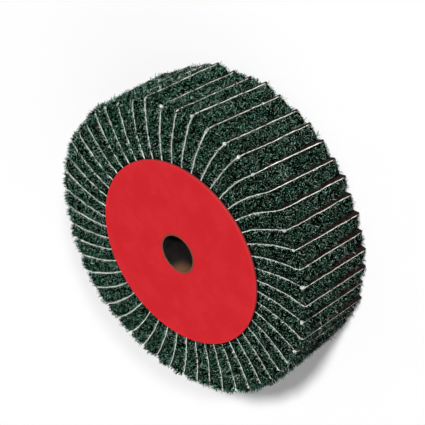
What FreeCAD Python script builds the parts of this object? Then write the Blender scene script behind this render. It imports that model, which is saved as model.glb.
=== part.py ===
import FreeCAD, Part
import math
import os
import Sketcher

# Interleaved flap wheel: flaps of abrasive cloth all round, with a wedge of non-woven web between each two,
# bonded by their roots to a cast hub, closed by two board flanges and bored by a thin card tube.
# The wheel lies on its rear flange. The origin is the centre of that flange's outer face, the axis is +Z,
# and the root of the first cloth flap points along +X. Millimetres and degrees.

doc = FreeCAD.newDocument("FlapWheel")

# Driving sizes
DRIVING_SIZES = (
    ("WheelDiameter", "150", "circle through the tips of the cloth flaps"),
    ("BoreDiameter", "19", "inside of the card tube"),
    ("TubeWall", "0.8", "wall of the card tube"),
    ("FlangeDiameter", "96", "outside of both flanges"),
    ("FlangeThickness", "1", "board of the flanges"),
    ("FlangeEdge", "0.3", "broken outer edge of a flange"),
    ("FlapWidth", "46", "width of the cloth flaps, the distance between the flanges"),
    ("FlapCount", "50", "number of cloth flaps, and of web flaps"),
    ("ClothThickness", "0.9", "cotton cloth with its coat of grit"),
    ("HubDiameter", "52", "outside of the cast hub"),
    ("SeatDepth", "2.5", "how deep the root of a cloth flap sits in the hub"),
    ("BendInset", "3", "where the flaps start to bend, inside the edge of the flange"),
    ("BendRadius", "84", "radius of the bent part of a flap, at its mid-thickness"),
    ("WebInset", "0.8", "how far the web stays behind the cloth at each side"),
    ("FitGap", "0.1", "glue line and play between pieces that are laid together"),
)

sheet = doc.addObject("Spreadsheet::Sheet", "Sizes")
for row, (alias, value, meaning) in enumerate(DRIVING_SIZES, start=1):
    sheet.set(f"A{row}", meaning)
    sheet.set(f"B{row}", value)
    sheet.setAlias(f"B{row}", alias)
doc.recompute()


def size(alias):
    """A driving size as a number."""
    return float(sheet.get(alias))


def bind(thing, name, expression):
    """Ties a property or a named constraint to the sheet."""
    thing.setExpression(name, expression.replace("$", "Sizes."))


# Expressions that more than one piece uses
TUBE_RADIUS = "($BoreDiameter / 2 + $TubeWall)"
HUB_RADIUS = "($HubDiameter / 2)"
CLOTH_ROOT = "($HubDiameter / 2 - $SeatDepth)"
BEND_START = "($FlangeDiameter / 2 - $BendInset)"
HALF_CLOTH = "($ClothThickness / 2)"
HALF_SLOT = "($ClothThickness / 2 + $FitGap)"
COUNT = "round($FlapCount)"

# Two levels closer than this are the same
NEAR = 1e-3

# Points of a sketch's lines and arcs, and its own X axis with the origin as its first point
START = 1
END = 2
CENTRE = 3
AXIS_X = -1

flap_count = round(size("FlapCount"))
pitch = math.radians(360.0 / flap_count)


def new_body(label):
    """An empty body that carries the name of its piece."""
    body = doc.addObject("PartDesign::Body", label)
    body.Label = label
    return body


def new_sketch(body, name):
    """A sketch on the XY plane of its own body."""
    sketch = body.newObject("Sketcher::SketchObject", name)
    planes = [item for item in body.Origin.OriginFeatures if item.Role == "XY_Plane"]
    sketch.AttachmentSupport = [(planes[0], "")]
    sketch.MapMode = "FlatFace"
    return sketch


def named(sketch, name, expression, *constraint):
    """Adds a dimension to a sketch, names it and ties it to the sheet."""
    index = sketch.addConstraint(Sketcher.Constraint(*constraint))
    sketch.renameConstraint(index, name)
    bind(sketch, "Constraints." + name, expression)


def pad(body, sketch, name, length):
    """Raises a sketch along +Z by a length that the sheet gives."""
    feature = body.newObject("PartDesign::Pad", name)
    feature.Profile = sketch
    bind(feature, "Length", length)
    doc.recompute()
    return feature


def ring_sketch(body, name, outer, inner):
    """Two circles about the axis; outer and inner are pairs of a start value and an expression."""
    sketch = new_sketch(body, name)
    for number, (side, (start, expression)) in enumerate((("Outer", outer), ("Inner", inner))):
        circle = Part.Circle(FreeCAD.Vector(0, 0, 0), FreeCAD.Vector(0, 0, 1), start)
        sketch.addGeometry(circle, False)
        sketch.addConstraint(Sketcher.Constraint("Coincident", number, CENTRE, AXIS_X, START))
        named(sketch, side + "Radius", expression, "Radius", number, start)
    return sketch


def from_axis(point):
    """Distance of a point from the wheel's axis."""
    return math.hypot(point.x, point.y)


def turned(x, y, angle=0.0):
    """A point of the sketch plane, turned about the axis."""
    cosine = math.cos(angle)
    sine = math.sin(angle)
    return FreeCAD.Vector(x * cosine - y * sine, x * sine + y * cosine, 0)


# Start values of the flap outlines, from the same sizes that the constraints use
bore_radius = size("BoreDiameter") / 2
tube_radius = bore_radius + size("TubeWall")
wheel_radius = size("WheelDiameter") / 2
flange_radius = size("FlangeDiameter") / 2
hub_radius = size("HubDiameter") / 2
cloth_root = hub_radius - size("SeatDepth")
web_root = hub_radius + size("FitGap")
bend_start = flange_radius - size("BendInset")
bend_radius = size("BendRadius")
half_cloth = size("ClothThickness") / 2
half_slot = half_cloth + size("FitGap")
bend_centre = turned(bend_start, -bend_radius)


def bend_end_angle():
    """Direction, from the bend's centre, of the cloth tip whose outer corner is on the wheel's circle."""
    reach = bend_radius + half_cloth
    cosine = (wheel_radius ** 2 - bend_centre.Length ** 2 - reach ** 2) / (2 * bend_centre.Length * reach)
    return math.atan2(bend_centre.y, bend_centre.x) + math.acos(cosine)


def flap_side(offset, angle, tip_angle, root):
    """The straight run and the arc of one side of a flap, from root to tip."""
    centre = turned(bend_start, -bend_radius, angle)
    foot = turned(root, offset, angle)
    knee = turned(bend_start, offset, angle)
    circle = Part.Circle(centre, FreeCAD.Vector(0, 0, 1), bend_radius + offset)
    arc = Part.ArcOfCircle(circle, tip_angle + angle, math.pi / 2 + angle)
    return Part.LineSegment(foot, knee), arc


def flap_outline(near_line, near_bend, far_line, far_bend):
    """The two sides of a flap with the tip and the root that close them, in order round the outline."""
    tip = Part.LineSegment(near_bend.StartPoint, far_bend.StartPoint)
    root = Part.LineSegment(far_line.StartPoint, near_line.StartPoint)
    return [near_line, near_bend, tip, far_bend, far_line, root]


def wheel_circle(sketch):
    """The wheel's outer circle as construction geometry."""
    circle = Part.Circle(FreeCAD.Vector(0, 0, 0), FreeCAD.Vector(0, 0, 1), wheel_radius)
    index = sketch.addGeometry(circle, True)
    sketch.addConstraint(Sketcher.Constraint("Coincident", index, CENTRE, AXIS_X, START))
    named(sketch, "WheelRadius", "$WheelDiameter / 2", "Radius", index, wheel_radius)
    return index


def join_flap_outline(sketch, near_line, near_bend, tip, far_bend, far_line, root):
    """Closes the six edges of a flap's outline, smooth where each side starts to bend."""
    for constraint in (
        ("Tangent", near_line, END, near_bend, END),
        ("Tangent", far_line, END, far_bend, END),
        ("Coincident", tip, START, near_bend, START),
        ("Coincident", tip, END, far_bend, START),
        ("Coincident", root, START, far_line, START),
        ("Coincident", root, END, near_line, START),
        ("Horizontal", near_line),
    ):
        sketch.addConstraint(Sketcher.Constraint(*constraint))


def draw_cloth(sketch):
    """The edge of a cloth flap: radial at the root, bent clockwise to a square-cut tip."""
    tip_angle = bend_end_angle()
    back_side = flap_side(-half_cloth, 0.0, tip_angle, cloth_root)
    front_side = flap_side(half_cloth, 0.0, tip_angle, cloth_root)
    geometry = flap_outline(*back_side, *front_side)
    back_line, back_bend, tip, front_bend, front_line, root = sketch.addGeometry(geometry, False)
    wheel = wheel_circle(sketch)
    join_flap_outline(sketch, back_line, back_bend, tip, front_bend, front_line, root)
    for constraint in (
        ("Horizontal", front_line),
        ("Coincident", back_bend, CENTRE, front_bend, CENTRE),
        ("Vertical", root),
        ("PointOnObject", back_bend, CENTRE, tip),
        ("PointOnObject", front_bend, START, wheel),
    ):
        sketch.addConstraint(Sketcher.Constraint(*constraint))
    origin = (AXIS_X, START)
    back_centre = (back_bend, CENTRE)
    named(sketch, "BendStart", BEND_START, "DistanceX", *origin, *back_centre, bend_start)
    named(sketch, "BendDepth", "$BendRadius", "DistanceY", *back_centre, *origin, bend_radius)
    back_radius = bend_radius - half_cloth
    front_radius = bend_radius + half_cloth
    named(sketch, "BackRadius", f"$BendRadius - {HALF_CLOTH}", "Radius", back_bend, back_radius)
    named(sketch, "FrontRadius", f"$BendRadius + {HALF_CLOTH}", "Radius", front_bend, front_radius)
    named(sketch, "Root", CLOTH_ROOT, "DistanceX", *origin, back_line, START, cloth_root)


def web_tip_angle(far_centre, along):
    """Direction, from the near bend's centre, of the point where the far tip's cut meets the near side."""
    between = far_centre - bend_centre
    middle = between.dot(along)
    run = math.sqrt(middle ** 2 - between.dot(between) + (bend_radius + half_slot) ** 2) - middle
    near_tip = between + along * run
    return math.atan2(near_tip.y, near_tip.x)


def draw_web(sketch):
    """The edge of a web flap: the wedge between two cloth flaps, cut square with the further one."""
    tip_angle = bend_end_angle()
    far_knee = turned(bend_start, 0, pitch)
    far_centre = turned(bend_start, -bend_radius, pitch)
    along = turned(1, 0, tip_angle + pitch)
    near_tip_angle = web_tip_angle(far_centre, along)
    near_side = flap_side(half_slot, 0.0, near_tip_angle, web_root)
    far_side = flap_side(-half_slot, pitch, tip_angle, web_root)
    geometry = flap_outline(*near_side, *far_side)
    near_line, near_bend, tip, far_bend, far_line, root = sketch.addGeometry(geometry, False)
    wheel = wheel_circle(sketch)
    spoke = sketch.addGeometry(Part.LineSegment(FreeCAD.Vector(0, 0, 0), far_knee), True)
    drop = sketch.addGeometry(Part.LineSegment(far_knee, far_centre), True)
    far_tip = far_centre + along * (bend_radius + half_cloth)
    cut = sketch.addGeometry(Part.LineSegment(far_centre, far_tip), True)
    join_flap_outline(sketch, near_line, near_bend, tip, far_bend, far_line, root)
    origin = (AXIS_X, START)
    near_centre = (near_bend, CENTRE)
    far_centre = (far_bend, CENTRE)
    for constraint in (
        ("Parallel", far_line, spoke),
        ("Coincident", spoke, START, *origin),
        ("Coincident", drop, START, spoke, END),
        ("Perpendicular", drop, spoke),
        ("Coincident", drop, END, *far_centre),
        ("Coincident", cut, START, *far_centre),
        ("PointOnObject", cut, END, wheel),
        ("PointOnObject", near_bend, START, cut),
        ("PointOnObject", far_bend, START, cut),
    ):
        sketch.addConstraint(Sketcher.Constraint(*constraint))
    named(sketch, "NearStart", BEND_START, "DistanceX", *origin, *near_centre, bend_start)
    named(sketch, "NearDepth", "$BendRadius", "DistanceY", *near_centre, *origin, bend_radius)
    named(sketch, "NearRadius", f"$BendRadius + {HALF_SLOT}", "Radius", near_bend, bend_radius + half_slot)
    named(sketch, "FarTurn", f"360 / {COUNT}", "Angle", *origin, spoke, START, pitch)
    named(sketch, "FarStart", BEND_START, "Distance", spoke, START, spoke, END, bend_start)
    named(sketch, "FarDepth", "$BendRadius", "Distance", drop, START, drop, END, bend_radius)
    named(sketch, "FarRadius", f"$BendRadius - {HALF_SLOT}", "Radius", far_bend, bend_radius - half_slot)
    cut_length = bend_radius + half_cloth
    named(sketch, "CutLength", f"$BendRadius + {HALF_CLOTH}", "Distance", cut, START, cut, END, cut_length)
    named(sketch, "NearRoot", f"{HUB_RADIUS} + $FitGap", "DistanceX", *origin, near_line, START, web_root)
    named(sketch, "FarRoot", f"{HUB_RADIUS} + $FitGap", "Distance", *origin, far_line, START, web_root)


def seat_flap(body, number):
    """Turns a flap to its place in the row and stands it on the rear flange."""
    body.Placement.Rotation = FreeCAD.Rotation(FreeCAD.Vector(0, 0, 1), math.degrees(number * pitch))
    bind(body, "Placement.Base.z", "$FlangeThickness")


def clone(label, original):
    """A further copy of a body, in a body of its own."""
    body = new_body(label)
    base = body.newObject("PartDesign::FeatureBase", label + "_base")
    base.BaseFeature = original
    body.Tip = base
    return body


def polar_pattern(body, name):
    """A pattern about the axis that repeats something once for each flap."""
    pattern = body.newObject("PartDesign::PolarPattern", name)
    axes = [item for item in body.Origin.OriginFeatures if item.Role == "Z_Axis"]
    pattern.Axis = (axes[0], [""])
    pattern.Angle = 360
    bind(pattern, "Occurrences", COUNT)
    return pattern


def core_tube():
    """Thin wound card, flush with the outer faces of both flanges."""
    body = new_body("core_tube")
    bore = (bore_radius, "$BoreDiameter / 2")
    outline = ring_sketch(body, "TubeOutline", (tube_radius, TUBE_RADIUS), bore)
    pad(body, outline, "TubeLength", "$FlapWidth + 2 * $FlangeThickness")
    return body


def resin_hub():
    """Resin cast round the tube between the flanges, with a slot for the root of each cloth flap."""
    body = new_body("resin_hub")
    outline = ring_sketch(body, "HubOutline", (hub_radius, HUB_RADIUS), (tube_radius, TUBE_RADIUS))
    pad(body, outline, "HubLength", "$FlapWidth")
    slot = new_sketch(body, "SlotOutline")
    slot_bottom = cloth_root - size("FitGap")
    corners = [
        turned(slot_bottom, -half_slot),
        turned(web_root, -half_slot),
        turned(web_root, half_slot),
        turned(slot_bottom, half_slot),
    ]
    edges = [Part.LineSegment(corners[index - 1], corner) for index, corner in enumerate(corners)]
    bottom, back_side, mouth, front_side = slot.addGeometry(edges, False)
    for constraint in (
        ("Coincident", bottom, END, back_side, START),
        ("Coincident", back_side, END, mouth, START),
        ("Coincident", mouth, END, front_side, START),
        ("Coincident", front_side, END, bottom, START),
        ("Horizontal", back_side),
        ("Vertical", mouth),
        ("Horizontal", front_side),
        ("Symmetric", bottom, START, bottom, END, AXIS_X),
    ):
        slot.addConstraint(Sketcher.Constraint(*constraint))
    origin = (AXIS_X, START)
    named(slot, "SlotWidth", f"2 * {HALF_SLOT}", "DistanceY", mouth, START, mouth, END, 2 * half_slot)
    named(slot, "SlotBottom", f"{CLOTH_ROOT} - $FitGap", "DistanceX", *origin, bottom, START, slot_bottom)
    named(slot, "SlotMouth", f"{HUB_RADIUS} + $FitGap", "DistanceX", *origin, mouth, START, web_root)
    solid_volume = body.Shape.Volume
    pocket = body.newObject("PartDesign::Pocket", "Slot")
    pocket.Profile = slot
    pocket.Type = "ThroughAll"
    pocket.Reversed = True
    doc.recompute()
    if pocket.Shape.Volume >= solid_volume:
        raise RuntimeError("the slot cuts nothing")
    pattern = polar_pattern(body, "Slots")
    pattern.Originals = [pocket]
    body.Tip = pattern
    bind(body, "Placement.Base.z", "$FlangeThickness")
    return body


def flange(label, height, outer_face):
    """A board disc round the tube; height is where it lies and outer_face the level of its open face."""
    body = new_body(label)
    hole = (tube_radius + size("FitGap"), f"{TUBE_RADIUS} + $FitGap")
    outline = ring_sketch(body, label + "_outline", (flange_radius, "$FlangeDiameter / 2"), hole)
    disc = pad(body, outline, label + "_board", "$FlangeThickness")
    rim = []
    for number, edge in enumerate(disc.Shape.Edges, start=1):
        end = edge.Vertexes[0].Point
        if from_axis(end) > flange_radius - NEAR and abs(end.z - outer_face) < NEAR:
            rim.append(f"Edge{number}")
    chamfer = body.newObject("PartDesign::Chamfer", label + "_edge")
    chamfer.Base = (disc, rim)
    bind(chamfer, "Size", "$FlangeEdge")
    bind(body, "Placement.Base.z", height)
    return body


def first_cloth_flap():
    """Cloth with a coat of grit, cut square and bent clockwise where it leaves the flanges."""
    body = new_body("abrasive_flap_01")
    outline = new_sketch(body, "ClothOutline")
    draw_cloth(outline)
    pad(body, outline, "ClothStrip", "$FlapWidth")
    seat_flap(body, 0)
    return body


def cloth_flaps():
    """The whole row of cloth flaps; the further ones are copies of the first."""
    first = first_cloth_flap()
    doc.recompute()
    row = [first]
    for number in range(1, flap_count):
        body = clone(f"abrasive_flap_{number + 1:02d}", first)
        seat_flap(body, number)
        row.append(body)
    return row


def web_flaps():
    """One wedge of web in each gap between two cloth flaps, a little narrower than the cloth."""
    body = new_body("web_flaps")
    body.AllowCompound = True
    outline = new_sketch(body, "WebOutline")
    draw_web(outline)
    pad(body, outline, "WebWedge", "$FlapWidth - 2 * $WebInset")
    pattern = polar_pattern(body, "WebRow")
    pattern.TransformMode = "Whole shape"
    body.Tip = pattern
    bind(body, "Placement.Base.z", "$FlangeThickness + $WebInset")
    return body


pieces = [
    core_tube(),
    resin_hub(),
    flange("rear_flange", "0 * $FlangeThickness", 0.0),
    flange("front_flange", "$FlapWidth + $FlangeThickness", size("FlangeThickness")),
    web_flaps(),
]
pieces += cloth_flaps()
doc.recompute()

for item in doc.Objects:
    if "Invalid" in item.State or "Error" in item.State:
        raise RuntimeError(f"{item.Label} did not compute: {item.State}")
for piece in pieces:
    if piece.Shape.isNull() or not piece.Shape.isValid():
        raise RuntimeError(f"{piece.Label} has no valid shape")

os.makedirs("parts", exist_ok=True)
for piece in pieces:
    piece.Shape.exportStep(f"parts/{piece.Label}.step")
    print(f"{piece.Label}: {len(piece.Shape.Solids)} solids, {piece.Shape.Volume:.0f} cubic millimetres")
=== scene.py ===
import logging
import math
import random
from dataclasses import dataclass, field
from enum import Enum

import bmesh
import bpy
from bmesh.types import BMesh, BMVert
from mathutils import Matrix, Vector, noise


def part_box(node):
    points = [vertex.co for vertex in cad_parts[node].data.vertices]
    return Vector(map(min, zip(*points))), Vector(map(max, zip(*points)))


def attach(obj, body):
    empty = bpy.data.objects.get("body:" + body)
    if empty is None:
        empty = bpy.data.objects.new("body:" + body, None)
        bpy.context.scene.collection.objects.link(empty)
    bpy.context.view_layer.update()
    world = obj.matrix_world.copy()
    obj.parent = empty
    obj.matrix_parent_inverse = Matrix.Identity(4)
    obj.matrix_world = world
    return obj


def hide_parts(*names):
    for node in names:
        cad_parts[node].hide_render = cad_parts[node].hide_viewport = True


# Looks of an interleaf flap wheel: 50 flaps of abrasive cloth with a wedge of non-woven web between each two,
# between two red board flanges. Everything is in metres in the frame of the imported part: the wheel lies on its
# rear flange, its axis is +Z and the root of the first cloth flap points along +X.

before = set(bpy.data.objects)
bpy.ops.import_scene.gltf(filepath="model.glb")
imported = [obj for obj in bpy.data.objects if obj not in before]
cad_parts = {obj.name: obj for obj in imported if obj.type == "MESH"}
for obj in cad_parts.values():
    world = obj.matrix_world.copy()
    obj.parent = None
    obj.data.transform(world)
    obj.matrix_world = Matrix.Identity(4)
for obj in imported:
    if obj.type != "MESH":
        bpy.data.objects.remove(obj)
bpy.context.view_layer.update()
MM = 0.001
FULL_TURN = 2.0 * math.pi
LOG = logging.getLogger("flap_wheel")

# The side of the wheel towards which brown dust and painted shade dim the web, how much they dim it, and where the
# dimming begins and is full.
DUST_AND_SHADE_SIDE = math.radians(-15.0)
DUST_AND_SHADE = (0.64, 0.54, 0.57, 1.0)
DUST_AND_SHADE_SPAN = (5.0 * MM, 72.0 * MM)

# The levels between which the front edges of the cloth take on the colour of the web's lint.
LINT_SPAN = (46.3 * MM, 46.8 * MM)

# The room that a fibre's root keeps from the flanges, and the places of a unit block's ends and middle.
ROOT_ROOM = 2.0 * MM
FIRST_ROW = 0.001
LAST_ROW = 0.999
MIDDLE = 0.5

Colour = tuple[float, float, float]
Nodes = bpy.types.ShaderNodeTree
Socket = bpy.types.NodeSocket
Spot = tuple[Vector, Vector]


def smooth(low: float, high: float, value: float) -> float:
    """A soft step from 0 at low to 1 at high."""
    part = min(1.0, max(0.0, (value - low) / (high - low)))
    return part * part * (3.0 - 2.0 * part)


def mix(start: float, end: float, part: float) -> float:
    """The value that lies at part of the way from start to end."""
    return start + (end - start) * part


def linear(colour: Colour) -> tuple[float, float, float, float]:
    """A screen colour from 0 to 255 as the linear colour that a shader takes."""
    shades = []
    for channel in colour:
        value = channel / 255.0
        shades.append(value / 12.92 if value <= 0.04045 else ((value + 0.055) / 1.055) ** 2.4)
    return (shades[0], shades[1], shades[2], 1.0)


# ---------------------------------------------------------------------------------------------------------
# Sizes


@dataclass(frozen=True)
class WheelSizes:
    """The sizes that the flaps are laid out by, in metres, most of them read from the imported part."""

    flange_radius: float
    hub_radius: float
    flap_bottom: float
    flap_top: float
    height: float
    flap_count: int
    wheel_radius: float = 75.0 * MM
    bend_inset: float = 3.0 * MM
    bend_radius: float = 84.0 * MM
    cloth: float = 0.9 * MM
    seat_depth: float = 2.5 * MM
    glue: float = 0.1 * MM

    @classmethod
    def from_frame(cls) -> "WheelSizes":
        """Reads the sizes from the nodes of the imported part."""
        flaps = [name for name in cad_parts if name.startswith("abrasive_flap_")]
        hub_low, hub_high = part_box("resin_hub")
        return cls(
            flange_radius=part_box("rear_flange")[1].x,
            hub_radius=hub_high.x,
            flap_bottom=hub_low.z,
            flap_top=hub_high.z,
            height=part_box("core_tube")[1].z,
            flap_count=len(flaps),
        )

    @property
    def pitch(self) -> float:
        """The angle from one cloth flap to the next."""
        return FULL_TURN / self.flap_count

    @property
    def width(self) -> float:
        """The width of a cloth flap, along the axis."""
        return self.flap_top - self.flap_bottom

    @property
    def bend_start(self) -> float:
        """The radius at which the flaps start to bend."""
        return self.flange_radius - self.bend_inset

    @property
    def shown_from(self) -> float:
        """The run past which fibres may grow without touching a flange."""
        return self.bend_inset + ROOT_ROOM

    @property
    def free_run(self) -> float:
        """The length of the bent part of a flap, whose outer corner lies on the wheel's circle."""
        reach = self.bend_radius + self.cloth / 2
        span = math.hypot(self.bend_start, self.bend_radius)
        side = (self.wheel_radius ** 2 - span ** 2 - reach ** 2) / (2 * reach * span)
        return self.bend_radius * (math.asin(side) + math.atan2(self.bend_radius, self.bend_start))


@dataclass(frozen=True)
class FlapLine:
    """The run of one cloth flap, radial out of the hub and then bent clockwise, as it has worn.

    Attributes:
        sizes: The sizes of the wheel.
        angle: The direction of the root, in radians.
        slack: How much more than usual the flap bends, as a share.
        reach: How much longer than usual the flap is.
        corner: The worn radius of the front corner.
        seed: A number that moves the flap's ripples.
        flare: How much further the flap reaches at its rear edge than at the front.
        lean: How much more the flap bends at its rear edge than at the front, as a share.
        fade: How far from a free edge its ripples fade out.
        broad: The length of the broad ripples, and their depth in millimetres.
        fine: The length of the fine ripples, and their depth in millimetres.
    """

    sizes: WheelSizes
    angle: float
    slack: float
    reach: float
    corner: float
    seed: float
    flare: float
    lean: float = 0.62
    fade: float = 3.0 * MM
    broad: tuple[float, float] = (9.0 * MM, 0.34)
    fine: tuple[float, float] = (2.6 * MM, 0.18)

    def depth(self, height: float) -> float:
        """How deep a level lies between the front edge, 0, and the rear edge, 1."""
        return (self.sizes.flap_top - height) / self.sizes.width

    def tip(self, height: float) -> float:
        """The run, from the start of the bend, at which the flap ends at a level."""
        return self.sizes.free_run + self.reach + self.flare * self.depth(height)

    def ripple(self, run: float, height: float) -> float:
        """How far the cloth waves out of its plane, most along its free edges."""
        to_front = self.sizes.flap_top - height
        to_tip = max(0.0, self.tip(height) - run)
        free = math.exp(-min(to_front, to_tip) / self.fade) * smooth(-1.0 * MM, 4.0 * MM, run)
        along = run + height
        broad = noise.noise(Vector((along / self.broad[0], self.seed, 0.0)))
        fine = noise.noise(Vector((along / self.fine[0], self.seed, 4.0)))
        return (self.broad[1] * broad + self.fine[1] * fine) * MM * free

    def point(self, run: float, offset: float, height: float) -> Vector:
        """A point beside the flap.

        Args:
            run: Length along the flap from the start of its bend, negative towards the root.
            offset: Distance from the mid-plane of the cloth, positive anticlockwise.
            height: Level along the axis.

        Returns:
            The point in the frame of the part.
        """
        if run <= 0.0:
            out = self.sizes.bend_start + run
            side = offset
        else:
            offset += self.ripple(run, height)
            radius = self.sizes.bend_radius / (1.0 + self.lean * self.depth(height) + self.slack)
            turn = run / radius
            out = self.sizes.bend_start + (radius + offset) * math.sin(turn)
            side = (radius + offset) * math.cos(turn) - radius
        cosine = math.cos(self.angle)
        sine = math.sin(self.angle)
        return Vector((out * cosine - side * sine, out * sine + side * cosine, height))


def round_corner(to_tip: float, to_edge: float, radius: float) -> tuple[float, float, float, float]:
    """Moves a point near a square corner so that the corner becomes round.

    Args:
        to_tip: Distance from the tip of the flap.
        to_edge: Distance from the side edge of the flap.
        radius: The radius that the corner has worn to.

    Returns:
        The two distances after the move, and the outward direction there as its tip and edge parts.
    """
    if to_tip >= radius or to_edge >= radius or radius <= 0.0:
        outward = (1.0, 0.0) if to_tip < to_edge else (0.0, 1.0)
        return to_tip, to_edge, outward[0], outward[1]
    along = (radius - to_tip) / radius
    across = (radius - to_edge) / radius
    length = math.hypot(along, across)
    pull = max(along, across) / length
    new_tip = radius - radius * along * pull
    new_edge = radius - radius * across * pull
    return new_tip, new_edge, along / length, across / length


# ---------------------------------------------------------------------------------------------------------
# Shader groups that several finishes use


@dataclass(frozen=True)
class NodeKit:
    """Adds shader nodes to one tree and joins them up."""

    tree: Nodes

    def add(self, kind: str, **settings: object) -> bpy.types.Node:
        """A new node of a kind, with its properties set."""
        node = self.tree.nodes.new(kind)
        for name, value in settings.items():
            setattr(node, name, value)
        return node

    def feed(self, node: bpy.types.Node, name: str | int, value: object) -> None:
        """Joins an output to a node's input, or sets the input to a constant."""
        target = node.inputs[name]
        if isinstance(value, bpy.types.NodeSocket):
            self.tree.links.new(value, target)
        else:
            target.default_value = value

    def maths(self, operation: str, first: object, second: object = 0.0, clamp: bool = False) -> Socket:
        """The result of a sum on two values."""
        node = self.add("ShaderNodeMath", operation=operation, use_clamp=clamp)
        self.feed(node, 0, first)
        self.feed(node, 1, second)
        return node.outputs[0]

    def ramp(self, value: object, low: float, high: float, to_low: float = 0.0, to_high: float = 1.0) -> Socket:
        """A value taken smoothly from one span to another."""
        node = self.add("ShaderNodeMapRange", interpolation_type="SMOOTHSTEP")
        self.feed(node, "Value", value)
        self.feed(node, "From Min", low)
        self.feed(node, "From Max", high)
        self.feed(node, "To Min", to_low)
        self.feed(node, "To Max", to_high)
        return node.outputs["Result"]

    def blend(self, part: object, first: object, second: object, how: str = "MIX") -> Socket:
        """Two colours blended by a part from 0 to 1."""
        node = self.add("ShaderNodeMix", data_type="RGBA", blend_type=how)
        self.feed(node, 0, part)
        self.feed(node, 6, first)
        self.feed(node, 7, second)
        return node.outputs[2]

    def noise(self, place: object, scale: object, detail: float = 2.0, rough: float = 0.5, bent: float = 0.0) -> Socket:
        """A noise value; scale counts features in a metre."""
        node = self.add("ShaderNodeTexNoise", noise_dimensions="3D")
        self.feed(node, "Vector", place)
        self.feed(node, "Scale", scale)
        self.feed(node, "Detail", detail)
        self.feed(node, "Roughness", rough)
        self.feed(node, "Distortion", bent)
        return node.outputs[0]

    def moved(self, place: object, turn: tuple[float, float, float], stretch: tuple[float, float, float]) -> Socket:
        """Object coordinates turned and stretched for one pattern."""
        node = self.add("ShaderNodeMapping")
        self.feed(node, "Vector", place)
        self.feed(node, "Rotation", turn)
        self.feed(node, "Scale", stretch)
        return node.outputs[0]

    def level(self, place: object) -> Socket:
        """The level of a place along the wheel's axis."""
        parts = self.add("ShaderNodeSeparateXYZ")
        self.feed(parts, 0, place)
        return parts.outputs[2]

    def towards(self, place: object, angle: float) -> Socket:
        """How far a place lies from the axis in the direction of an angle."""
        side = self.add("ShaderNodeVectorMath", operation="DOT_PRODUCT")
        self.feed(side, 0, place)
        self.feed(side, 1, (math.cos(angle), math.sin(angle), 0.0))
        return side.outputs["Value"]

    def from_axis(self, place: object) -> Socket:
        """The distance of a place from the wheel's axis."""
        flat = self.add("ShaderNodeVectorMath", operation="MULTIPLY")
        self.feed(flat, 0, place)
        self.feed(flat, 1, (1.0, 1.0, 0.0))
        length = self.add("ShaderNodeVectorMath", operation="LENGTH")
        self.feed(length, 0, flat.outputs[0])
        return length.outputs["Value"]

    def dusted_and_shaded(self, place: object, colour: Socket) -> Socket:
        """A colour of the web, dimmed by brown dust and painted shade towards one side of the wheel."""
        return self.blend(self.ramp(self.towards(place, DUST_AND_SHADE_SIDE), *DUST_AND_SHADE_SPAN), colour, DUST_AND_SHADE, "MULTIPLY")

    def place(self, name: str, **values: object) -> bpy.types.Node:
        """A shader group placed in this tree with its own values."""
        node = self.add("ShaderNodeGroup", node_tree=bpy.data.node_groups[name])
        for key, value in values.items():
            self.feed(node, key, value)
        return node


class Effect(Enum):
    """The shader groups that finishes share."""

    TANGLE = "fibre_tangle"
    MOTTLE = "board_mottle"
    WEAVE = "cotton_weave"
    GRAIN = "grit_grain"


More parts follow.
